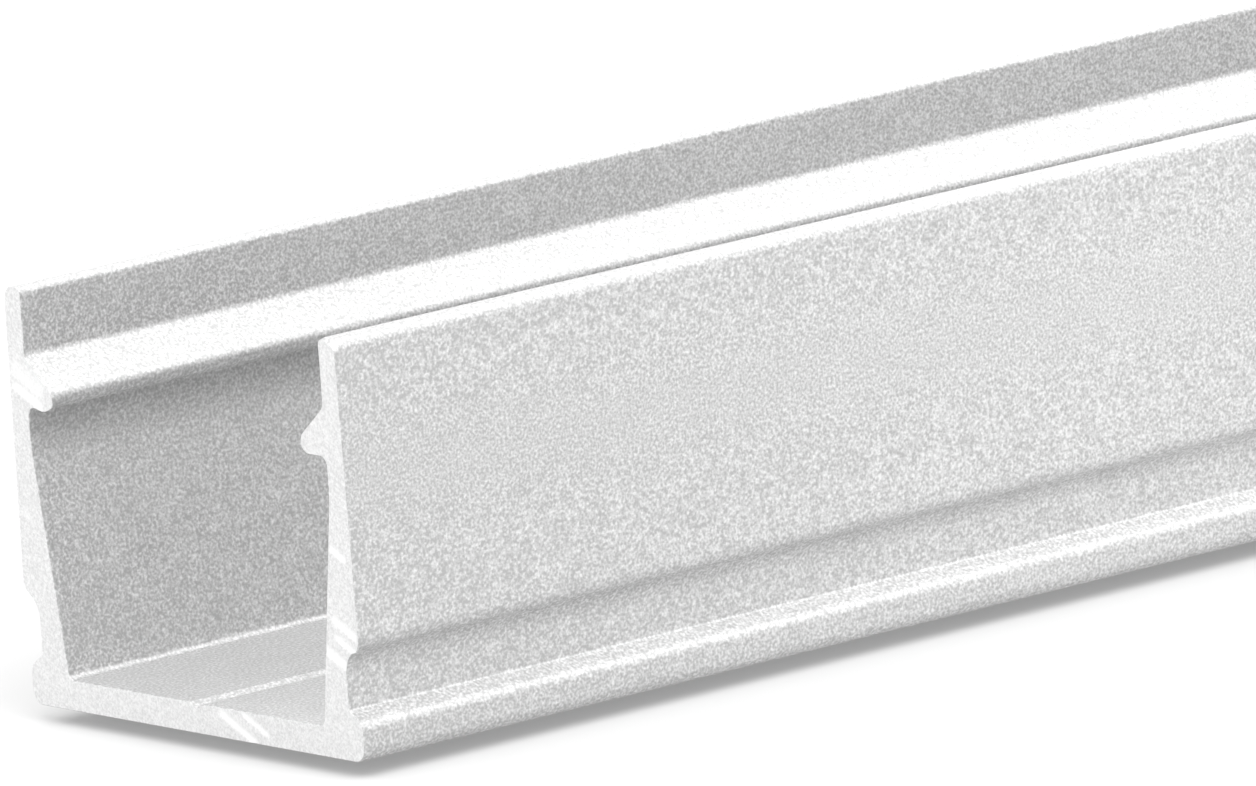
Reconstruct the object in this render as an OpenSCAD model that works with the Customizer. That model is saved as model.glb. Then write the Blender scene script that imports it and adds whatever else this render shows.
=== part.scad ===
// Surface-mount channel for LED strip: one aluminium extrusion, sawn to length.
// The stock runs along X and its section lies in the YZ plane, alike on both sides of Y = 0.
// It stands on its underside at Z = 0. All sizes are in millimetres.

/* [Stock] */
// Length the stock is sawn to
stock_length = 1000; // [50:10:2000]
// Overall width, over the lips of the two walls
width = 17.8; // [16.8:0.1:24]
// Overall height, from the underside to the wall tops
height = 14.5; // [13.5:0.1:24]

/* [Walls] */
// Wall thickness along the top
wall_t = 0.85; // [0.75:0.05:1.05]
// How far each outer face leans in between the lip and the wall top
top_lean = 0.15; // [0:0.05:0.3]
// Outer rounding along the wall top
top_r_out = 0.45; // [0.2:0.05:0.5]
// Inner rounding along the wall top
top_r_in = 0.25; // [0.1:0.05:0.3]
// Height at which the inner face stops being upright and tapers in toward the floor
taper_z = 9; // [7:0.1:9.8]
// How far the inner face stands in where it meets the floor
root_in = 1.15; // [0.6:0.05:1.4]

/* [Floor] */
// Floor thickness
floor_t = 1.05; // [0.9:0.05:1.2]
// Fillet between the floor and each wall
floor_r = 0.25; // [0.1:0.05:0.5]
// Width of the centre-line mark in the floor
mark_w = 0.75; // [0.3:0.05:1]
// Depth of the centre-line mark in the floor
mark_depth = 0.2; // [0.1:0.05:0.35]

/* [Cover catch] */
// Drop from the wall top to the head of the sloping lead-in
catch_drop = 2.4; // [2:0.1:2.8]
// How far the bead stands in from the face of its wall
catch_reach = 1.3; // [0.8:0.05:1.5]
// Height of the bead where it joins the wall
catch_h = 1.7; // [1.5:0.05:2]
// Rounding of the bead's nose
catch_r = 0.4; // [0.2:0.02:0.44]
// Fillet where the lead-in leaves the wall
head_r = 0.4; // [0.1:0.05:0.8]
// Fillet under the bead, where it leaves the wall
under_r = 0.35; // [0.1:0.05:0.5]

/* [Clip groove] */
// Height of the foot's upper edge, where the groove begins
foot_h = 1.75; // [1.4:0.05:2]
// Fall of the foot's upper face from the groove to the foot's side
foot_fall = 0.45; // [0.2:0.05:0.6]
// How far the foot's side stands in from the lip
foot_in = 0.1; // [0:0.05:0.3]
// Depth of the groove, measured in from the lip
groove_depth = 0.75; // [0.55:0.05:0.8]
// Height of the lip above the underside
lip_z = 4; // [3.8:0.05:4.5]
// Rise of the lip's underside, from the groove's back out to the lip
lip_rise = 0.5; // [0.45:0.05:0.7]
// Rounding of the lip
lip_r = 0.55; // [0.1:0.05:0.65]
// Rounding of the foot's upper edge
foot_r = 0.45; // [0.1:0.05:0.6]
// Rounding of the foot's bottom edge
base_r = 0.5; // [0.1:0.05:0.7]
// Fillet at the bottom of the groove's back
groove_r = 0.12; // [0.05:0.01:0.2]
// Cove between the groove's back and the lip's underside
cove_r = 0.95; // [0.2:0.05:1.05]

/* [Hidden] */
// Colour of the satin clear anodising
anodised_grey = [0.82, 0.83, 0.84];
// Facets shown round a full circle
round_facets = 64;
// How far a rounding circle passes both sides of its corner, so that it crosses them cleanly
crossing = 0.0005;
// How far past the outline a sliver runs, as a multiple of its distance from the arc's centre
run_on = 1.1;
// Y of the lip, the foot's side, the groove's back and the wall top
lip_y = width / 2;
foot_y = lip_y - foot_in;
groove_y = lip_y - groove_depth;
top_y = lip_y - top_lean;
// Y of the inner wall face: where it is upright, and at the floor
inner_y = top_y - wall_t;
root_y = inner_y - root_in;
// Cover catch: head and underside of the bead, centre of its nose, slope of its lead-in
head_z = height - catch_drop;
under_z = head_z - catch_h;
head_to_nose = [catch_reach - catch_r, catch_h - catch_r];
lead_in = atan2(head_to_nose.y, head_to_nose.x) - asin(catch_r / norm(head_to_nose));

// Corners of one side, as [y, z, rounding], up the outer face and down the inner one
side = [
    [foot_y, 0, base_r],
    [foot_y, foot_h - foot_fall, foot_r],
    [groove_y, foot_h, groove_r],
    [groove_y, lip_z - lip_rise, cove_r],
    [lip_y, lip_z, lip_r],
    [top_y, height, top_r_out],
    [inner_y, height, top_r_in],
    [inner_y, head_z, head_r],
    [inner_y - catch_h / tan(lead_in), under_z, catch_r],
    [inner_y, under_z, under_r],
    [inner_y, taper_z, 0],
    [root_y, floor_t, floor_r],
    [mark_w / 2, floor_t, 0],
];

// The whole outline: one side, the bottom of the centre-line mark, the other side
outline = concat(
    side,
    [[0, floor_t - mark_depth, 0]],
    [for (i = [len(side) - 1 : -1 : 0]) [-side[i].x, side[i].y, side[i].z]]
);

// Point of an outline corner, counted round past the ends of the list
function at(i) =
    let (c = outline[(i + len(outline)) % len(outline)])
    [c.x, c.y];

// Direction from point a to point b
function toward(a, b) = (b - a) / norm(b - a);

// True where the outline turns left, that is, where the metal's corner stands out
function stands_out(i) = cross(at(i) - at(i - 1), at(i + 1) - at(i)) > 0;

// The sliver between corner i and the arc that rounds it, run on a little past both sides.
// Its points go anticlockwise whichever way the outline turns.
module sliver(i) {
    r = outline[i].z;
    back = toward(at(i), at(i - 1));
    ahead = toward(at(i), at(i + 1));
    half_angle = acos(back * ahead) / 2;
    reach = r / tan(half_angle);
    to_corner = -toward([0, 0], back + ahead) * r / sin(half_angle);
    first_side = stands_out(i) ? back : ahead;
    second_side = stands_out(i) ? ahead : back;
    translate(at(i) - to_corner)
        difference() {
            polygon([
                [0, 0],
                run_on * (to_corner + first_side * reach),
                run_on * to_corner,
                run_on * (to_corner + second_side * reach),
            ]);
            circle(r + crossing, $fn = round_facets);
        }
}

// Slivers of every rounded corner that stands out, or of every one that does not
module slivers(standing_out) {
    for (i = [0 : len(outline) - 1])
        if (outline[i].z > 0 && stands_out(i) == standing_out)
            sliver(i);
}

// Section of the stock: straight-sided outline, inner corners filled, outer ones rounded
module section() {
    difference() {
        union() {
            polygon([for (i = [0 : len(outline) - 1]) at(i)]);
            slivers(false);
        }
        slivers(true);
    }
}

// The channel, its section carried along X and centred on X = 0
module channel_profile() {
    color(anodised_grey)
        rotate([90, 0, 90])
            linear_extrude(stock_length, center = true)
                section();
}

channel_profile();
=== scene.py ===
"""Looks of the LED-strip channel: satin anodised skin, sawn ends, floor, light and camera.

The object's frame is in metres, with +X along the stock, +Y across it and +Z up. The sawn end
nearer to the camera is the one at the lowest X. Sizes of the section and of the sawn ends are given
in millimetres, as they are on a maker's drawing, and turned into metres where the mesh is made.
Sizes in a finish, the studio and the camera are in metres, unless their note says otherwise.
"""

from __future__ import annotations

import logging
import math
import random
from dataclasses import dataclass
from enum import Enum

import bpy
import numpy as np
from mathutils import Matrix, Vector
from mathutils.geometry import delaunay_2d_cdt
from mathutils.noise import noise

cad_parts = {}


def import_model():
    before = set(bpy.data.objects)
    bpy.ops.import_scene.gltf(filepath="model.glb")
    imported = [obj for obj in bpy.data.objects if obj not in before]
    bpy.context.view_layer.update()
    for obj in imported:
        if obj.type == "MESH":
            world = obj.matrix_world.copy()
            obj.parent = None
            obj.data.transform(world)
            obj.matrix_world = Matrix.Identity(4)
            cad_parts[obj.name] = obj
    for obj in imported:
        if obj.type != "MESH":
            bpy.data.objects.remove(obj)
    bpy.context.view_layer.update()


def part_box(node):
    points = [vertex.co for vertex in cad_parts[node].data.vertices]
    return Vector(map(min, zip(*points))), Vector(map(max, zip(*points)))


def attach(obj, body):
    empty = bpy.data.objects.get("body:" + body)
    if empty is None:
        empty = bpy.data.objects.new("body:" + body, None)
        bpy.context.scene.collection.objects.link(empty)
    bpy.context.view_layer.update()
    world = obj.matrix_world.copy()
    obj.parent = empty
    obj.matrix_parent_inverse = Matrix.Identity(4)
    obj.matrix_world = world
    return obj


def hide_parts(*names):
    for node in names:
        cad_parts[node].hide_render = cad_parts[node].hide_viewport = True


log = logging.getLogger("channel")

MM = 0.001
CAD_NODE = "channel_profile"
BODY = "root"

# Name of the value, stored on the mesh's points, for a tooth's burnish and painted highlight on the
# sawn face
POLISH_AND_HIGHLIGHT = "tooth_polish_and_highlight"
# Height of an equal-sided triangle, as a share of its side
TRIANGLE_HEIGHT = math.sqrt(0.75)
# Tells delaunay_2d_cdt to keep only the triangles inside the outline
INSIDE_ONLY = 1

Point = tuple[float, float]
Range = tuple[float, float]
Colour = tuple[float, float, float]
Socket = bpy.types.NodeSocket


class End(Enum):
    """Which end of the stock a sawn face belongs to, as its direction along X."""

    NEAR = -1
    FAR = 1


class Face(Enum):
    """Material slots of the channel's mesh."""

    SKIN = 0
    SAWN = 1


def smooth(start: float, end: float, x: np.ndarray) -> np.ndarray:
    """Return a smooth step of x that is 0 at start and 1 at end."""
    t = np.clip((x - start) / (end - start), 0.0, 1.0)
    return t * t * (3.0 - 2.0 * t)


def shaded(colour: Colour, factor: float) -> Colour:
    """Return a colour made darker or lighter by a factor."""
    return tuple(c * factor for c in colour)


def placed(name: str, data: bpy.types.ID) -> bpy.types.Object:
    """Make an object and put it in the scene.

    Args:
        name: the object's name.
        data: its mesh, light or camera.

    Returns:
        The object.
    """
    made = bpy.data.objects.new(name, data)
    bpy.context.scene.collection.objects.link(made)
    return made


@dataclass(frozen=True)
class Corner:
    """One corner of the section.

    Args:
        y: place across the width, in mm.
        z: height above the underside, in mm.
        radius: rounding of the corner, in mm.
    """

    y: float
    z: float
    radius: float

    def mirrored(self) -> Corner:
        """Return the same corner on the other side of the section."""
        return Corner(-self.y, self.z, self.radius)


@dataclass
class ChannelSection:
    """Section of the extrusion, with the same driving sizes as the solid, in mm.

    Args:
        width: overall width, over the lips.
        height: overall height, from the underside to the wall tops.
        wall_t: wall thickness along the top.
        top_lean: how far each outer face leans in between the lip and the wall top.
        top_r_out: outer rounding along the wall top.
        top_r_in: inner rounding along the wall top.
        taper_z: height at which the inner face stops being upright and tapers in.
        taper_r: rounding of that bend.
        root_in: how far the inner face stands in where it meets the floor.
        floor_t: floor thickness.
        floor_r: fillet between the floor and each wall.
        mark_w: width of the centre-line mark in the floor.
        mark_depth: depth of the centre-line mark.
        catch_drop: drop from the wall top to the head of the catch bead's lead-in.
        catch_reach: how far the bead stands in from the face of its wall.
        catch_h: height of the bead where it joins the wall.
        catch_r: rounding of the bead's nose.
        head_r: fillet where the lead-in leaves the wall.
        under_r: fillet under the bead, where it leaves the wall.
        foot_h: height of the foot's upper edge, where the clip groove begins.
        foot_fall: fall of the foot's upper face from the groove to the foot's side.
        foot_in: how far the foot's side stands in from the lip.
        groove_depth: depth of the clip groove, measured in from the lip.
        lip_z: height of the lip above the underside.
        lip_rise: rise of the lip's underside, from the groove's back out to the lip.
        lip_r: rounding of the lip.
        foot_r: rounding of the foot's upper edge.
        base_r: rounding of the foot's bottom edge.
        groove_r: fillet at the bottom of the groove's back.
        cove_r: cove between the groove's back and the lip's underside.
        soft_r: rounding of the centre-line mark's corners.
        arc_step: longest step round a corner.
        arc_turn: largest turn of one step round a corner, in radians.
        flat_step: length of the steps along a straight.
    """

    width: float = 17.8
    height: float = 14.5
    wall_t: float = 0.85
    top_lean: float = 0.15
    top_r_out: float = 0.45
    top_r_in: float = 0.25
    taper_z: float = 9.0
    taper_r: float = 6.0
    root_in: float = 1.15
    floor_t: float = 1.05
    floor_r: float = 0.25
    mark_w: float = 0.75
    mark_depth: float = 0.2
    catch_drop: float = 2.4
    catch_reach: float = 1.3
    catch_h: float = 1.7
    catch_r: float = 0.4
    head_r: float = 0.4
    under_r: float = 0.35
    foot_h: float = 1.75
    foot_fall: float = 0.45
    foot_in: float = 0.1
    groove_depth: float = 0.75
    lip_z: float = 4.0
    lip_rise: float = 0.5
    lip_r: float = 0.55
    foot_r: float = 0.45
    base_r: float = 0.5
    groove_r: float = 0.12
    cove_r: float = 0.95
    soft_r: float = 0.05
    arc_step: float = 0.045
    arc_turn: float = math.radians(15)
    flat_step: float = 0.16

    def side(self) -> list[Corner]:
        """List the corners of one side of the section.

        Returns:
            The corners of the +Y side, up its outer face and down its inner one.
        """
        lip_y = self.width / 2
        foot_y = lip_y - self.foot_in
        groove_y = lip_y - self.groove_depth
        top_y = lip_y - self.top_lean
        inner_y = top_y - self.wall_t
        head_z = self.height - self.catch_drop
        under_z = head_z - self.catch_h
        across, down = self.catch_reach - self.catch_r, self.catch_h - self.catch_r
        lead_in = math.atan2(down, across) - math.asin(self.catch_r / math.hypot(across, down))
        return [
            Corner(foot_y, 0.0, self.base_r),
            Corner(foot_y, self.foot_h - self.foot_fall, self.foot_r),
            Corner(groove_y, self.foot_h, self.groove_r),
            Corner(groove_y, self.lip_z - self.lip_rise, self.cove_r),
            Corner(lip_y, self.lip_z, self.lip_r),
            Corner(top_y, self.height, self.top_r_out),
            Corner(inner_y, self.height, self.top_r_in),
            Corner(inner_y, head_z, self.head_r),
            Corner(inner_y - self.catch_h / math.tan(lead_in), under_z, self.catch_r),
            Corner(inner_y, under_z, self.under_r),
            Corner(inner_y, self.taper_z, self.taper_r),
            Corner(inner_y - self.root_in, self.floor_t, self.floor_r),
            Corner(self.mark_w / 2, self.floor_t, self.soft_r),
        ]

    def corners(self) -> list[Corner]:
        """List every corner of the section.

        Returns:
            The corners, anticlockwise seen from +X.
        """
        side = self.side()
        mark = Corner(0.0, self.floor_t - self.mark_depth, self.soft_r)
        return side + [mark] + [corner.mirrored() for corner in reversed(side)]

    def outline(self) -> list[Point]:
        """Round the corners and split the straights into short steps.

        Returns:
            The closed outline as (y, z) points in mm, anticlockwise seen from +X.
        """
        corners = self.corners()
        arcs = [
            self.arc(corners[i - 1], corner, corners[(i + 1) % len(corners)])
            for i, corner in enumerate(corners)
        ]
        points: list[Point] = []
        for i, arc in enumerate(arcs):
            points.extend(arc)
            points.extend(self.straight(arc[-1], arcs[(i + 1) % len(arcs)][0]))
        return points

    def arc(self, before: Corner, corner: Corner, after: Corner) -> list[Point]:
        """Turn one corner into the points of its arc.

        Args:
            before: the corner before it.
            corner: the corner to round.
            after: the corner after it.

        Returns:
            The arc's points, from its first tangent point to its last.
        """
        at = Vector((corner.y, corner.z))
        back = (Vector((before.y, before.z)) - at).normalized()
        ahead = (Vector((after.y, after.z)) - at).normalized()
        half = back.angle(ahead) / 2
        reach = corner.radius / math.tan(half)
        centre = at + (back + ahead).normalized() * (corner.radius / math.sin(half))
        start, end = at + back * reach - centre, at + ahead * reach - centre
        sweep = start.angle_signed(end)
        count = max(2, math.ceil(abs(sweep) * corner.radius / self.arc_step))
        count = max(count, math.ceil(abs(sweep) / self.arc_turn))
        points = []
        for k in range(count + 1):
            spoke = Matrix.Rotation(-sweep * k / count, 2) @ start
            points.append((centre.x + spoke.x, centre.y + spoke.y))
        return points

    def straight(self, start: Point, end: Point) -> list[Point]:
        """Split a straight into steps.

        Args:
            start: its first point.
            end: its last point.

        Returns:
            The points between the two, both left out.
        """
        count = max(1, round(math.dist(start, end) / self.flat_step))
        (y, z), width, rise = start, end[0] - start[0], end[1] - start[1]
        return [(y + width * k / count, z + rise * k / count) for k in range(1, count)]


@dataclass(frozen=True)
class SawMark:
    """A tooth mark on a sawn end: a shallow burnished scoop with a painted highlight, falling along
    the cut.

    Args:
        y: place of its middle across the width, in mm.
        z: height of its middle, in mm.
        length: length along the cut, in mm.
        width: width across the cut, in mm.
        depth: depth at its deep lower edge, in mm.
        polish_and_highlight: how far it is burnished and lightened as a painted highlight, from 0
            to 1.
        rim: where its edges lie, counted from its middle in lengths and widths.
        full_ends: where it starts to fade to each end, in lengths.
        full_below: where it has its full depth, just above the lower edge, in widths.
        full_above: where it starts to fade to the upper edge, in widths.
    """

    y: float
    z: float
    length: float
    width: float
    depth: float = 0.03
    polish_and_highlight: float = 1.0
    rim: float = 0.5
    full_ends: float = 0.32
    full_below: float = -0.34
    full_above: float = -0.2

    def strength(self, y: np.ndarray, z: np.ndarray, along: Point) -> np.ndarray:
        """Return how far each point lies in the mark, from 0 to 1.

        Args:
            y: places across the width, in mm.
            z: heights, in mm.
            along: unit direction of the cut, as (y, z).

        Returns:
            One value a point: 1 at the deep lower edge, fading to the upper edge and both ends.
        """
        dy, dz = y - self.y, z - self.z
        run = np.abs(dy * along[0] + dz * along[1]) / self.length
        rise = (dz * -along[0] + dy * along[1]) / self.width
        ends = smooth(self.rim, self.full_ends, run)
        lower = smooth(-self.rim, self.full_below, rise)
        upper = smooth(self.rim, self.full_above, rise)
        return ends * lower * upper


@dataclass(frozen=True)
class Burr:
    """Metal pushed past the edge of a sawn end by the teeth.

    Args:
        y: place across the width, in mm.
        z: height, in mm.
        push_y: how far the metal is pushed across the width, in mm.
        push_z: how far it is pushed up, in mm.
        spread: how far along the edge it reaches, in mm.
    """

    y: float
    z: float
    push_y: float
    push_z: float
    spread: float


@dataclass
class SawnEnd:
    """One sawn end of the stock: its tooth marks, scratches and burrs.

    Args:
        end: which end of the stock it is.
        marks: its tooth marks.
        burrs: its burrs.
        seed: where its noise starts.
        cut_fall: angle at which the cut falls across the width, in radians.
        wave_depth: depth of the broad waves that the blade left, in mm.
        wave_rate: how fast the waves change along and across the cut, per mm.
        scratch_depth: depth of the fine scratches, in mm.
        scratch_rate: how fast the scratches change along and across the cut, per mm.
        scratch_seed: what the scratches add to the seed.
        grid: spacing of the points inside the face, in mm.
        clearance: least distance between those points and the edge, in mm.
        merge: distance under which two points count as one, in mm.
        burr_root: how far down the stock a burr reaches, in mm.
    """

    end: End
    marks: list[SawMark]
    burrs: list[Burr]
    seed: float
    cut_fall: float = math.radians(25)
    wave_depth: float = 0.012
    wave_rate: Point = (0.25, 0.9)
    scratch_depth: float = 0.006
    scratch_rate: Point = (0.5, 5.5)
    scratch_seed: float = 7.0
    grid: float = 0.085
    clearance: float = 0.05
    merge: float = 1e-7
    burr_root: float = 0.12

    def along(self) -> Point:
        """Return the unit direction of the cut, falling toward -Y."""
        return (-math.cos(self.cut_fall), -math.sin(self.cut_fall))

    def polish_and_highlight(self, y: np.ndarray, z: np.ndarray) -> np.ndarray:
        """Work out how far the teeth burnished the face, which also sets its painted highlight.

        Args:
            y: places across the width, in mm.
            z: heights, in mm.

        Returns:
            How burnished each point is, and so how much painted highlight it gets, from 0 to 1.
        """
        total = np.zeros_like(y)
        for mark in self.marks:
            total = np.maximum(total, mark.polish_and_highlight * mark.strength(y, z, self.along()))
        return total

    def ripple(self, run: float, rise: float, rate: Point, seed: float) -> float:
        """Return seeded noise at a place along and across the cut, from 0 to 1."""
        return 0.5 + 0.5 * noise(Vector((run * rate[0], rise * rate[1], seed)))

    def relief(self, y: np.ndarray, z: np.ndarray) -> np.ndarray:
        """Work out the relief that the blade left on the face.

        Args:
            y: places across the width, in mm.
            z: heights, in mm.

        Returns:
            How deep each point lies below the face's highest, in mm.
        """
        a_y, a_z = self.along()
        depth = np.empty_like(y)
        for i, (py, pz) in enumerate(zip(y, z)):
            run, rise = py * a_y + pz * a_z, pz * -a_y + py * a_z
            wave = self.ripple(run, rise, self.wave_rate, self.seed)
            scratch = self.ripple(run, rise, self.scratch_rate, self.seed + self.scratch_seed)
            depth[i] = self.wave_depth * wave + self.scratch_depth * scratch
        for mark in self.marks:
            depth += mark.depth * mark.strength(y, z, self.along())
        return depth

    def pushed(self, y: np.ndarray, z: np.ndarray, inset: float) -> tuple[np.ndarray, np.ndarray]:
        """Move edge points by the burrs near them.

        Args:
            y: places across the width, in mm.
            z: heights, in mm.
            inset: how far the points lie from the sawn face, in mm.

        Returns:
            The moved places and heights.
        """
        fade = math.exp(-((inset / self.burr_root) ** 2))
        out_y, out_z = y.copy(), z.copy()
        for burr in self.burrs:
            near = np.exp(-((y - burr.y) ** 2 + (z - burr.z) ** 2) / burr.spread**2) * fade
            out_y += burr.push_y * near
            out_z += burr.push_z * near
        return out_y, out_z

    def grid_points(self, loop: np.ndarray) -> np.ndarray:
        """Lay a staggered grid inside a loop, clear of its edge.

        Args:
            loop: the face's outline, as rows of (y, z) in mm.

        Returns:
            The grid points, as rows of (y, z) in mm.
        """
        low, high = loop.min(axis=0), loop.max(axis=0)
        heights = np.arange(low[1] + self.clearance, high[1], self.grid * TRIANGLE_HEIGHT)
        rows = []
        for k, z in enumerate(heights):
            stagger = self.grid * (0.5 if k % 2 else 0.0)
            y = np.arange(low[0] + stagger, high[0], self.grid)
            rows.append(np.column_stack([y, np.full_like(y, z)]))
        points = np.vstack(rows)
        inside = np.zeros(len(points), bool)
        clear = np.full(len(points), np.inf)
        for (y0, z0), (y1, z1) in zip(loop, np.roll(loop, -1, axis=0)):
            crosses = (points[:, 1] < z0) != (points[:, 1] < z1)
            if z1 != z0:
                crosses &= points[:, 0] < y0 + (points[:, 1] - z0) * (y1 - y0) / (z1 - z0)
                inside ^= crosses
            clear = np.minimum(clear, np.hypot(points[:, 0] - y0, points[:, 1] - z0))
        return points[inside & (clear > self.clearance)]

    def triangles(self, loop: np.ndarray) -> tuple[np.ndarray, list[tuple[int, int, int]]]:
        """Fill the outline with small triangles.

        Args:
            loop: the face's outline, as rows of (y, z) in mm.

        Returns:
            The points inside, and the triangles. A triangle's number under len(loop) is a point of
            the loop, and any other is a point inside, counted on from there.
        """
        inner = self.grid_points(loop)
        given = [Vector(p) for p in np.vstack([loop, inner])]
        around = list(range(len(loop)))
        edges = [(i, (i + 1) % len(loop)) for i in around]
        made = delaunay_2d_cdt(given, edges, [around], INSIDE_ONLY, self.merge)
        places, faces, origins = made[0], made[2], made[3]
        number = [given_ids[0] if given_ids else -1 for given_ids in origins]
        if min(number) < 0 or len(places) != len(given):
            raise ValueError("the sawn face's outline crosses itself")
        return inner, [tuple(number[i] for i in face) for face in faces]


class Nodes:
    """A node tree, with short calls for the nodes that the finishes and the tent share."""

    def __init__(self, tree: bpy.types.NodeTree) -> None:
        """Keep the tree to add nodes to.

        Args:
            tree: an empty node tree.
        """
        self.tree = tree

    def add(self, kind: str, **settings: object) -> bpy.types.Node:
        """Add a node.

        Args:
            kind: Blender's name for the type of node.
            settings: the node's own settings, by name.

        Returns:
            The node.
        """
        node = self.tree.nodes.new(kind)
        for name, value in settings.items():
            setattr(node, name, value)
        return node

    def link(self, source: Socket, target: Socket) -> None:
        """Join two sockets."""
        self.tree.links.new(source, target)

    def principled(self, metallic: float, specular: float) -> bpy.types.Node:
        """Add the surface shader and its output.

        Args:
            metallic: 1 for bare metal, 0 for anything else.
            specular: strength of the gloss.

        Returns:
            The shader.
        """
        node = self.add("ShaderNodeBsdfPrincipled")
        node.inputs["Metallic"].default_value = metallic
        node.inputs["Specular IOR Level"].default_value = specular
        self.link(node.outputs["BSDF"], self.add("ShaderNodeOutputMaterial").inputs["Surface"])
        return node

    def noise(self, place: Socket, size: float, detail: float, roughness: float) -> Socket:
        """Add fractal noise.

        Args:
            place: coordinates to read.
            size: size of its features, in metres.
            detail: how many finer layers it has.
            roughness: how strong the finer layers are.

        Returns:
            The noise, about 0.5 on the mean.
        """
        node = self.add("ShaderNodeTexNoise")
        self.link(place, node.inputs["Vector"])
        node.inputs["Scale"].default_value = 1 / size
        node.inputs["Detail"].default_value = detail
        node.inputs["Roughness"].default_value = roughness
        return node.outputs["Fac"]

    def mapped(self, place: Socket, kind: str, values: tuple[float, float, float]) -> Socket:
        """Stretch or turn coordinates.

        Args:
            place: the coordinates.
            kind: "Scale" to stretch them, or "Rotation" to turn them.
            values: factors along the three axes, or angles about them in radians.

        Returns:
            The new coordinates.
        """
        node = self.add("ShaderNodeMapping")
        self.link(place, node.inputs["Vector"])
        node.inputs[kind].default_value = values
        return node.outputs["Vector"]

    def axis(self, place: Socket, name: str) -> Socket:
        """Pick one coordinate.

        Args:
            place: the coordinates.
            name: "X", "Y" or "Z".

        Returns:
            The coordinate along that axis.
        """
        split = self.add("ShaderNodeSeparateXYZ")
        self.link(place, split.inputs["Vector"])
        return split.outputs[name]

    def math(self, operation: str, first: Socket, second: Socket | float = 0.0) -> Socket:
        """Do a sum.

        Args:
            operation: Blender's name for the sum.
            first: the first value.
            second: the second value, as a socket or a number, where the sum takes one.

        Returns:
            The result.
        """
        node = self.add("ShaderNodeMath", operation=operation)
        self.link(first, node.inputs[0])
        if isinstance(second, float):
            node.inputs[1].default_value = second
        else:
            self.link(second, node.inputs[1])
        return node.outputs[0]

    def layered(self, first: Socket, second: Socket, weight: float) -> Socket:
        """Return the first value with the second, times a weight, added to it."""
        return self.math("ADD", first, self.math("MULTIPLY", second, weight))

    def mixed(self, first: Socket, second: Socket, share: float) -> Socket:
        """Return a mix of two values, share being the second's part in it."""
        return self.layered(self.math("MULTIPLY", first, 1 - share), second, share)

    def ramp(self, value: Socket, *stops: tuple[float, Colour]) -> Socket:
        """Turn a value into a colour.

        Args:
            value: the value.
            stops: two or more pairs of a value and the colour that it gets, in rising order.

        Returns:
            The colour.
        """
        node = self.add("ShaderNodeValToRGB")
        self.link(value, node.inputs["Fac"])
        elements = node.color_ramp.elements
        while len(elements) < len(stops):
            elements.new(1.0)
        for element, (at, colour) in zip(elements, stops):
            element.position = at
            element.color = (*colour, 1.0)
        return node.outputs["Color"]

    def spread(self, value: Socket, given: Range, wanted: Range) -> Socket:
        """Carry a value from one range to another.

        Args:
            value: the value, which stops at the ends of its range.
            given: the range that it comes in.
            wanted: the range that it goes to.

        Returns:
            The carried value.
        """
        node = self.add("ShaderNodeMapRange")
        self.link(value, node.inputs["Value"])
        names = ("From Min", "From Max", "To Min", "To Max")
        for name, number in zip(names, (*given, *wanted)):
            node.inputs[name].default_value = number
        return node.outputs["Result"]

    def bump(self, height: Socket, depth: float, under: Socket | None = None) -> Socket:
        """Turn a relief into a normal.

        Args:
            height: the relief, from 0 to 1.
            depth: its depth in metres.
            under: the normal of a relief that it lies on, if there is one.

        Returns:
            The bumped normal.
        """
        node = self.add("ShaderNodeBump")
        self.link(height, node.inputs["Height"])
        node.inputs["Strength"].default_value = 1.0
        node.inputs["Distance"].default_value = depth
        if under is not None:
            self.link(under, node.inputs["Normal"])
        return node.outputs["Normal"]

    def attribute(self, name: str) -> Socket:
        """Return a value stored on the mesh's points."""
        return self.add("ShaderNodeAttribute", attribute_name=name).outputs["Fac"]


def blank_material(name: str) -> tuple[bpy.types.Material, Nodes]:
    """Start an empty material.

    Args:
        name: the material's name.

    Returns:
        The material and its nodes.
    """
    material = bpy.data.materials.new(name)
    material.use_nodes = True
    material.node_tree.nodes.clear()
    return material, Nodes(material.node_tree)


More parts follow.
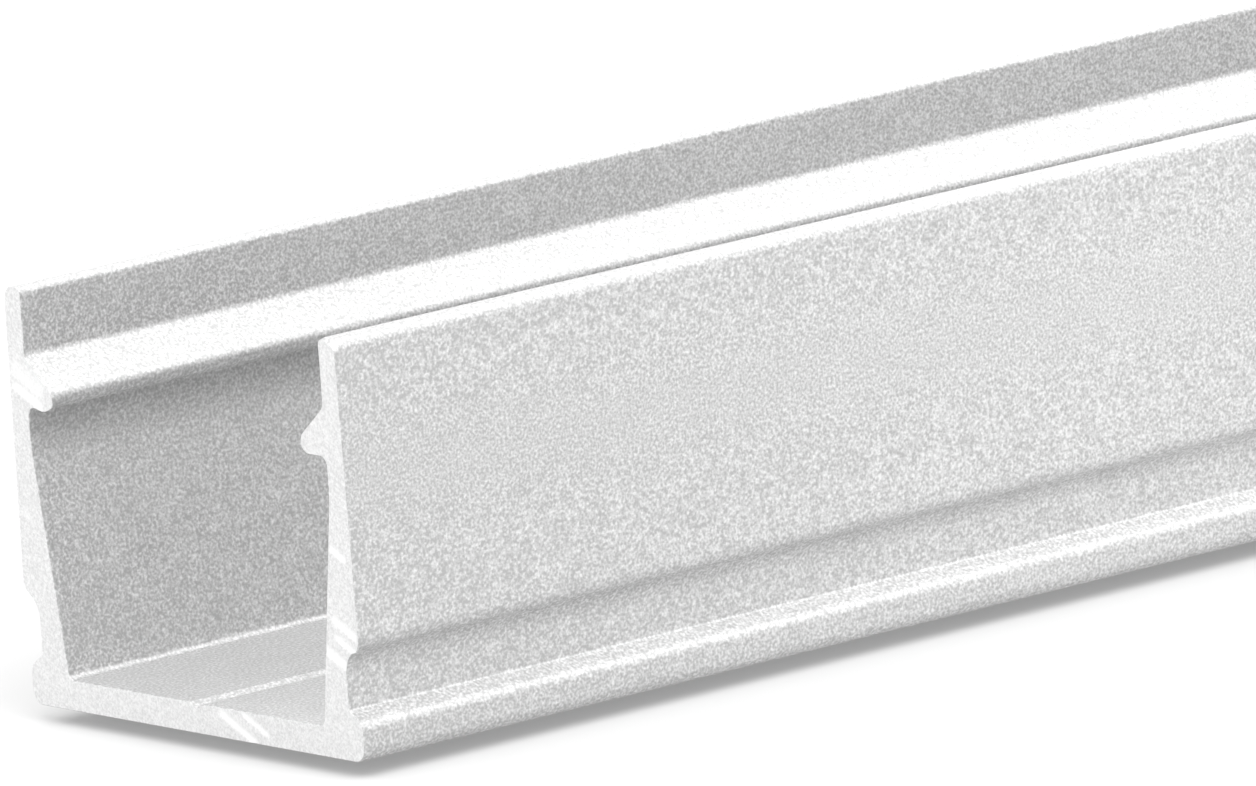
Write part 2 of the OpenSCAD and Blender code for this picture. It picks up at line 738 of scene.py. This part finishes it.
@dataclass(frozen=True)
class SatinAnodising:
    """Clear satin anodising: even grain over soft grey metal, faint lines left by the die, and
    painted shade toward the sawn ends.

    Args:
        stock_length: length of the stock, in metres.
        tone: mean colour.
        tone_spread: how far the grain goes to either side of the tone, as a share of it.
        tone_range: values of the grain at which it is darkest and lightest.
        end_painted_shade: how far the grain's value drops toward the sawn ends, painted shade that
            makes the skin darker there.
        end_run: length over which it drops, in metres.
        grain: size of the grain, in metres.
        grain_depth: depth of its relief, in metres.
        cloud_size: size of the faint patches, in grains.
        cloudiness: the patches' share in the tone.
        line_pitch: spacing of the lines, in metres.
        line_run: length over which a line changes, in metres.
        line_sheen: weight of the lines in the roughness.
        line_height: weight of the lines in the relief.
        metallic: how far it shines as a bare metal does, from 0 to 1.
        roughness: mean roughness.
        roughness_spread: how far the roughness goes to either side of the mean.
        roughness_range: values of the grain and lines together at which it is least and most.
    """

    stock_length: float
    tone: Colour = (0.605, 0.605, 0.605)
    tone_spread: float = 0.26
    tone_range: Range = (0.3, 0.7)
    end_painted_shade: float = 0.08
    end_run: float = 0.035
    grain: float = 0.000105
    grain_depth: float = 0.000006
    cloud_size: float = 12.0
    cloudiness: float = 0.1
    line_pitch: float = 0.0004
    line_run: float = 0.25
    line_sheen: float = 0.35
    line_height: float = 0.3
    metallic: float = 1.0
    roughness: float = 0.6
    roughness_spread: float = 0.06
    roughness_range: Range = (0.4, 0.9)

    def material(self) -> bpy.types.Material:
        """Make the finish.

        Returns:
            The finish as a material.
        """
        material, paint = blank_material("satin_anodising")
        metal = paint.principled(self.metallic, specular=0.5)
        place = paint.add("ShaderNodeTexCoord").outputs["Object"]
        grain = paint.noise(place, self.grain, detail=1.0, roughness=0.5)
        cloud = paint.noise(place, self.grain * self.cloud_size, detail=3.0, roughness=0.6)
        drawn = paint.mapped(place, "Scale", (self.line_pitch / self.line_run, 1.0, 1.0))
        lines = paint.noise(drawn, self.line_pitch, detail=2.0, roughness=0.5)
        speckle = paint.mixed(grain, cloud, self.cloudiness)

        # Painted shade: the colour darkens over the last end_run toward each sawn end.
        from_middle = paint.math("ABSOLUTE", paint.axis(place, "X"))
        end = self.stock_length / 2
        painted_end_shade = paint.spread(from_middle, (end - self.end_run, end), (0.0, -self.end_painted_shade))
        (dark_at, light_at), spread = self.tone_range, self.tone_spread
        colour = paint.ramp(paint.math("ADD", speckle, painted_end_shade),
                            (dark_at, shaded(self.tone, 1 - spread)),
                            (light_at, shaded(self.tone, 1 + spread)))
        paint.link(colour, metal.inputs["Base Color"])

        least, most = self.roughness - self.roughness_spread, self.roughness + self.roughness_spread
        rough = paint.spread(paint.layered(speckle, lines, self.line_sheen),
                             self.roughness_range, (least, most))
        paint.link(rough, metal.inputs["Roughness"])
        height = paint.layered(grain, lines, self.line_height)
        paint.link(paint.bump(height, self.grain_depth), metal.inputs["Normal"])
        return material


@dataclass(frozen=True)
class SawnAluminium:
    """Bare sawn metal: pale and dull, scratched along the cut, with a painted highlight where a
    tooth burnished it.

    Args:
        cut_fall: angle at which the cut falls across the width, in radians.
        tone: colour of the lightest grain.
        dullness: how much of that tone is left in the darkest grain.
        tone_range: values of the grain at which it is darkest and lightest.
        polished_highlight: colour where a tooth burnished it, lighter than the dull metal as a
            painted highlight.
        roughness: roughness of the dull metal.
        polished_roughness: roughness where a tooth burnished it.
        grain: size of the grain, in metres.
        grain_depth: depth of its relief, in metres.
        scratch_pitch: spacing of the scratches, in metres.
        scratch_run: length of a scratch, in metres.
        scratch_depth: depth of their relief, in metres.
        scratch_share: the scratches' share in the tone.
    """

    cut_fall: float
    tone: Colour = (0.845, 0.845, 0.845)
    dullness: float = 0.8
    tone_range: Range = (0.36, 0.64)
    polished_highlight: Colour = (0.97, 0.97, 0.97)
    roughness: float = 0.55
    polished_roughness: float = 0.42
    grain: float = 0.00009
    grain_depth: float = 0.000004
    scratch_pitch: float = 0.00006
    scratch_run: float = 0.0012
    scratch_depth: float = 0.000003
    scratch_share: float = 0.2

    def material(self) -> bpy.types.Material:
        """Make the finish.

        Returns:
            The finish as a material.
        """
        material, paint = blank_material("sawn_aluminium")
        metal = paint.principled(metallic=1.0, specular=0.5)
        place = paint.add("ShaderNodeTexCoord").outputs["Object"]
        polish_and_highlight = paint.attribute(POLISH_AND_HIGHLIGHT)
        grain = paint.noise(place, self.grain, detail=2.0, roughness=0.6)
        turned = paint.mapped(place, "Rotation", (-self.cut_fall, 0.0, 0.0))
        drawn = paint.mapped(turned, "Scale", (1.0, self.scratch_pitch / self.scratch_run, 1.0))
        scratches = paint.noise(drawn, self.scratch_pitch, detail=2.0, roughness=0.5)

        dark_at, light_at = self.tone_range
        base = paint.ramp(paint.mixed(grain, scratches, self.scratch_share),
                          (dark_at, shaded(self.tone, self.dullness)), (light_at, self.tone))
        # Painted highlight: burnished places are lightened toward a near-white colour, on top of
        # their lower roughness.
        colour = paint.add("ShaderNodeMix", data_type="RGBA")
        paint.link(polish_and_highlight, colour.inputs["Factor"])
        paint.link(base, colour.inputs["A"])
        colour.inputs["B"].default_value = (*self.polished_highlight, 1.0)
        paint.link(colour.outputs["Result"], metal.inputs["Base Color"])

        rough = paint.spread(polish_and_highlight, (0.0, 1.0), (self.roughness, self.polished_roughness))
        paint.link(rough, metal.inputs["Roughness"])
        under = paint.bump(grain, self.grain_depth)
        paint.link(paint.bump(scratches, self.scratch_depth, under), metal.inputs["Normal"])
        return material


@dataclass(frozen=True)
class PaleFloor:
    """Plain pale floor that glows a little, so that no shadow on it is black.

    Args:
        tone: colour of the floor.
        glow: strength of its glow.
    """

    tone: Colour = (0.42, 0.42, 0.42)
    glow: float = 0.24

    def material(self) -> bpy.types.Material:
        """Make the finish.

        Returns:
            The finish as a material.
        """
        material, paint = blank_material("pale_floor")
        flat = paint.principled(metallic=0.0, specular=0.0)
        flat.inputs["Base Color"].default_value = (*self.tone, 1.0)
        flat.inputs["Roughness"].default_value = 1.0
        flat.inputs["Emission Color"].default_value = (1.0, 1.0, 1.0, 1.0)
        flat.inputs["Emission Strength"].default_value = self.glow
        return material


@dataclass
class Channel:
    """The whole piece of stock: skin along its length and a sawn face at each end.

    Args:
        section: section of the extrusion.
        ends: the near sawn end, then the far one.
        length: length of the stock, in mm.
        edge_break: how far the sharp edge round a sawn face is broken, in mm.
        relief_fade: how far down the stock the sawn face's relief is felt, in mm.
        sharp_angle: angle between faces from which an edge shows as sharp, in radians.
        ring_insets: where the rings of skin points lie, in mm from the nearer sawn face.
    """

    section: ChannelSection
    ends: tuple[SawnEnd, SawnEnd]
    length: float
    edge_break: float = 0.02
    relief_fade: float = 0.4
    sharp_angle: float = math.radians(32)
    ring_insets: tuple[float, ...] = (
        0.0, 0.02, 0.06, 0.12, 0.22, 0.4, 0.8, 2.0, 6.0, 16.0, 40.0, 90.0, 180.0, 320.0,
    )

    def inward(self, loop: np.ndarray) -> np.ndarray:
        """Find the way into the metal all round the outline.

        Args:
            loop: the section's outline, as rows of (y, z) in mm.

        Returns:
            The unit direction into the metal at each point, as rows of (y, z).
        """
        chord = np.roll(loop, -1, axis=0) - np.roll(loop, 1, axis=0)
        chord /= np.linalg.norm(chord, axis=1)[:, None]
        return np.column_stack([-chord[:, 1], chord[:, 0]])

    def end_rings(self, cut: SawnEnd, loop: np.ndarray) -> list[np.ndarray]:
        """Lay the rings of skin points of one half of the stock.

        Args:
            cut: the sawn end of that half.
            loop: the section's outline, as rows of (y, z) in mm.

        Returns:
            One array a ring, as rows of (x, y, z) in mm, from the sawn face inward.
        """
        half = self.length / 2
        rings = []
        for inset in self.ring_insets:
            broken = self.edge_break * max(0.0, 1 - inset / self.edge_break)
            points = loop + self.inward(loop) * broken
            y, z = cut.pushed(points[:, 0], points[:, 1], inset)
            felt = max(0.0, 1 - inset / self.relief_fade)
            depth = cut.relief(loop[:, 0], loop[:, 1]) * felt
            rings.append(np.column_stack([cut.end.value * (half - inset - depth), y, z]))
        return rings

    def skin_faces(self, rings: int, count: int) -> list[tuple[int, ...]]:
        """Join neighbouring rings with four-sided faces.

        Args:
            rings: number of rings.
            count: number of points in a ring.

        Returns:
            The faces, as numbers of points.
        """
        faces = []
        for ring in range(rings - 1):
            for k in range(count):
                a, b = ring * count + k, ring * count + (k + 1) % count
                faces.append((a, a + count, b + count, b))
        return faces

    def build(self) -> bpy.types.Object:
        """Build the channel's mesh.

        Returns:
            The channel as one closed mesh object.
        """
        loop = np.array(self.section.outline())
        count = len(loop)
        near, far = self.ends
        rings = self.end_rings(near, loop) + list(reversed(self.end_rings(far, loop)))
        skin = np.vstack(rings)
        points, polish_and_highlight = [skin], [np.zeros(len(skin))]
        faces = self.skin_faces(len(rings), count)
        kinds = [Face.SKIN.value] * len(faces)
        for cut, first in ((near, 0), (far, len(skin) - count)):
            edge = skin[first:first + count, 1:]
            polish_and_highlight[0][first:first + count] = cut.polish_and_highlight(edge[:, 0], edge[:, 1])
            inner, triangles = cut.triangles(edge)
            base = sum(len(group) for group in points) - count
            y, z = inner[:, 0], inner[:, 1]
            x = cut.end.value * (self.length / 2 - cut.relief(y, z))
            points.append(np.column_stack([x, y, z]))
            polish_and_highlight.append(cut.polish_and_highlight(y, z))
            for triangle in triangles:
                corners = [first + i if i < count else base + i for i in triangle]
                faces.append(tuple(corners if cut.end is End.FAR else reversed(corners)))
            kinds += [Face.SAWN.value] * len(triangles)
            log.info("sawn end %s: %d triangles", cut.end.name.lower(), len(triangles))
        mesh = bpy.data.meshes.new("channel")
        mesh.from_pydata((np.vstack(points) * MM).tolist(), [], faces)
        mesh.polygons.foreach_set("material_index", kinds)
        # Burnish of the teeth, which the sawn finish also shows as a painted highlight.
        layer = mesh.attributes.new(POLISH_AND_HIGHLIGHT, "FLOAT", "POINT")
        layer.data.foreach_set("value", np.concatenate(polish_and_highlight).astype(np.float32))
        mesh.shade_smooth()
        mesh.set_sharp_from_angle(angle=self.sharp_angle)
        mesh.update()
        return placed("channel", mesh)

    def dress(self, piece: bpy.types.Object) -> None:
        """Give the skin and the sawn faces their finishes and tell the frame about the piece.

        Args:
            piece: the channel's mesh object.
        """
        for finish in (SatinAnodising(self.length * MM), SawnAluminium(self.ends[0].cut_fall)):
            piece.data.materials.append(finish.material())
        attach(piece, BODY)
        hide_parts(CAD_NODE)


@dataclass
class Studio:
    """Floor, light tent and one soft key light.

    Args:
        floor_size: width and length of the floor.
        floor_drop: gap between the floor and the underside of the stock, which lets a soft shadow
            show along the stock's edges.
        tent: light of the tent, as pairs of a height (from -1 below to 1 overhead) and a level.
        near_side: share of that light on the side of the channel that the camera sees.
        far_side: share of it on the far side.
        key_strength: strength of the key light.
        key_spread: width of the key light as seen from the stock, in radians.
        key_from: direction that the key light comes from.
    """

    floor_size: float = 80.0
    floor_drop: float = 0.0006
    tent: tuple[Point, ...] = (
        (-1.0, 0.6), (0.0, 0.95), (0.25, 1.2), (0.5, 1.3),
        (0.65, 3.3), (0.8, 2.6), (0.93, 1.3), (1.0, 1.1),
    )
    near_side: float = 1.15
    far_side: float = 0.82
    key_strength: float = 1.2
    key_spread: float = math.radians(50)
    key_from: tuple[float, float, float] = (-0.35, -0.6, 1.0)

    def build(self) -> None:
        """Build the floor, the tent and the key light."""
        self.lay_floor()
        self.hang_tent()
        self.hang_key()

    def lay_floor(self) -> None:
        """Lay the floor, a little below the stock."""
        half = self.floor_size / 2
        corners = [(-half, -half), (half, -half), (half, half), (-half, half)]
        mesh = bpy.data.meshes.new("floor")
        mesh.from_pydata([(x, y, -self.floor_drop) for x, y in corners], [], [(0, 1, 2, 3)])
        mesh.materials.append(PaleFloor().material())
        placed("floor", mesh)

    def hang_tent(self) -> None:
        """Light everything from a pale tent, brightest in a band high up all round it."""
        world = bpy.data.worlds.new("tent")
        world.use_nodes = True
        world.node_tree.nodes.clear()
        cloth = Nodes(world.node_tree)
        way = cloth.add("ShaderNodeTexCoord").outputs["Generated"]
        brightest = max(level for _, level in self.tent)
        stops = [((height + 1) / 2, (level / brightest,) * 3) for height, level in self.tent]
        height = cloth.spread(cloth.axis(way, "Z"), (-1.0, 1.0), (0.0, 1.0))
        strengths = (self.near_side * brightest, self.far_side * brightest)
        light = cloth.add("ShaderNodeBackground")
        cloth.link(cloth.ramp(height, *stops), light.inputs["Color"])
        cloth.link(cloth.spread(cloth.axis(way, "Y"), (-1.0, 1.0), strengths),
                   light.inputs["Strength"])
        sky = cloth.add("ShaderNodeOutputWorld")
        cloth.link(light.outputs["Background"], sky.inputs["Surface"])
        bpy.context.scene.world = world

    def hang_key(self) -> None:
        """Hang the soft key light in front and above."""
        lamp = bpy.data.lights.new("key", "SUN")
        lamp.energy = self.key_strength
        lamp.angle = self.key_spread
        key = placed("key", lamp)
        key.rotation_mode = "QUATERNION"
        key.rotation_quaternion = Vector(self.key_from).to_track_quat("Z", "Y")


@dataclass
class Viewpoint:
    """Long-lens camera that looks along the stock from the left and a little above.

    Args:
        end_foot: the middle of the near sawn end's bottom edge.
        aim: the point that it looks at, counted from there in mm.
        turn: how far it looks to the right of straight across the stock, in radians.
        drop: how far it looks down, in radians.
        lean: how far it is rolled, in radians.
        distance: how far it stands from that point.
        lens: focal length, in mm.
        sensor: width of the sensor, in mm.
        reach: nearest and farthest distance that it shows.
    """

    end_foot: Vector
    aim: tuple[float, float, float] = (12.5575, -8.75, 10.3656)
    turn: float = math.radians(39.5588)
    drop: float = math.radians(11.4028)
    lean: float = math.radians(4.0955)
    distance: float = 0.929486
    lens: float = 791.53
    sensor: float = 36.0
    reach: Range = (0.01, 200.0)

    def build(self) -> None:
        """Set up the scene's camera."""
        forward = Vector((
            math.sin(self.turn) * math.cos(self.drop),
            math.cos(self.turn) * math.cos(self.drop),
            -math.sin(self.drop),
        ))
        level = Vector((math.cos(self.turn), -math.sin(self.turn), 0.0))
        right = level * math.cos(self.lean) + forward.cross(level) * math.sin(self.lean)
        up = right.cross(forward)
        place = self.end_foot + Vector(self.aim) * MM - forward * self.distance
        data = bpy.data.cameras.new("camera")
        data.sensor_width = self.sensor
        data.lens = self.lens
        data.clip_start, data.clip_end = self.reach
        camera = placed("camera", data)
        camera.matrix_world = Matrix((
            (right.x, up.x, -forward.x, place.x),
            (right.y, up.y, -forward.y, place.y),
            (right.z, up.z, -forward.z, place.z),
            (0.0, 0.0, 0.0, 1.0),
        ))
        bpy.context.scene.camera = camera


def near_end() -> SawnEnd:
    """List the marks and burrs of the sawn end nearer to the camera.

    Returns:
        The near sawn end.
    """
    marks = [
        SawMark(7.8, 11.5, 2.2, 1.1, 0.008, 0.5),
        SawMark(7.86, 10.8, 1.95, 0.5),
        SawMark(8.45, 6.6, 0.8, 0.25, 0.012, 0.4),
        SawMark(-8.13, 7.12, 1.05, 0.36),
        SawMark(-8.2, 4.6, 1.6, 0.42),
        SawMark(-8.25, 4.0, 1.5, 0.34),
        SawMark(-7.65, 3.55, 1.45, 0.5),
        SawMark(-2.2, 0.5, 2.6, 0.42),
        SawMark(-3.1, 0.7, 1.8, 0.3),
    ]
    burrs = [
        Burr(-8.85, 3.85, 0.0, -0.14, 0.24),
        Burr(-8.85, 6.9, -0.02, 0.0, 0.2),
        Burr(-8.5, 14.4, 0.03, -0.12, 0.5),
        Burr(7.2, 10.4, 0.0, -0.12, 0.35),
        Burr(6.66, 10.6, -0.06, -0.06, 0.25),
    ]
    return SawnEnd(End.NEAR, marks, burrs, seed=3.0)


def far_end() -> SawnEnd:
    """List the marks and burrs of the other sawn end, cut on the same saw.

    Returns:
        The far sawn end.
    """
    draw = random.Random(20)
    marks = [
        SawMark(8.3, 9.2, 1.0, 0.3),
        SawMark(7.9, 5.1, 1.4, 0.34),
        SawMark(-7.7, 10.7, 1.7, 0.4),
        SawMark(-8.2, 2.6, 1.1, 0.3),
    ]
    marks += [SawMark(draw.uniform(-6.0, 6.0), 0.5, draw.uniform(1.0, 2.2), 0.28) for _ in range(3)]
    burrs = [
        Burr(-8.86, 8.6, -0.02, 0.0, 0.3),
        Burr(-8.7, 0.1, 0.0, 0.04, 0.2),
    ]
    return SawnEnd(End.FAR, marks, burrs, seed=11.0)


def main() -> None:
    """Build the channel, its surroundings, the light and the camera, in that order."""
    logging.basicConfig(level=logging.INFO, format="%(name)s: %(message)s")
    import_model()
    low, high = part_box(CAD_NODE)
    channel = Channel(ChannelSection(), (near_end(), far_end()), (high.x - low.x) / MM)
    piece = channel.build()
    channel.dress(piece)
    log.info("channel: %d points, %d faces", len(piece.data.vertices), len(piece.data.polygons))
    Studio().build()
    log.info("studio: floor, tent and key light")
    Viewpoint(Vector((low.x, 0.0, 0.0))).build()
    log.info("camera set")
    bpy.context.scene.view_settings.view_transform = "Standard"


if __name__ == "__main__":
    main()
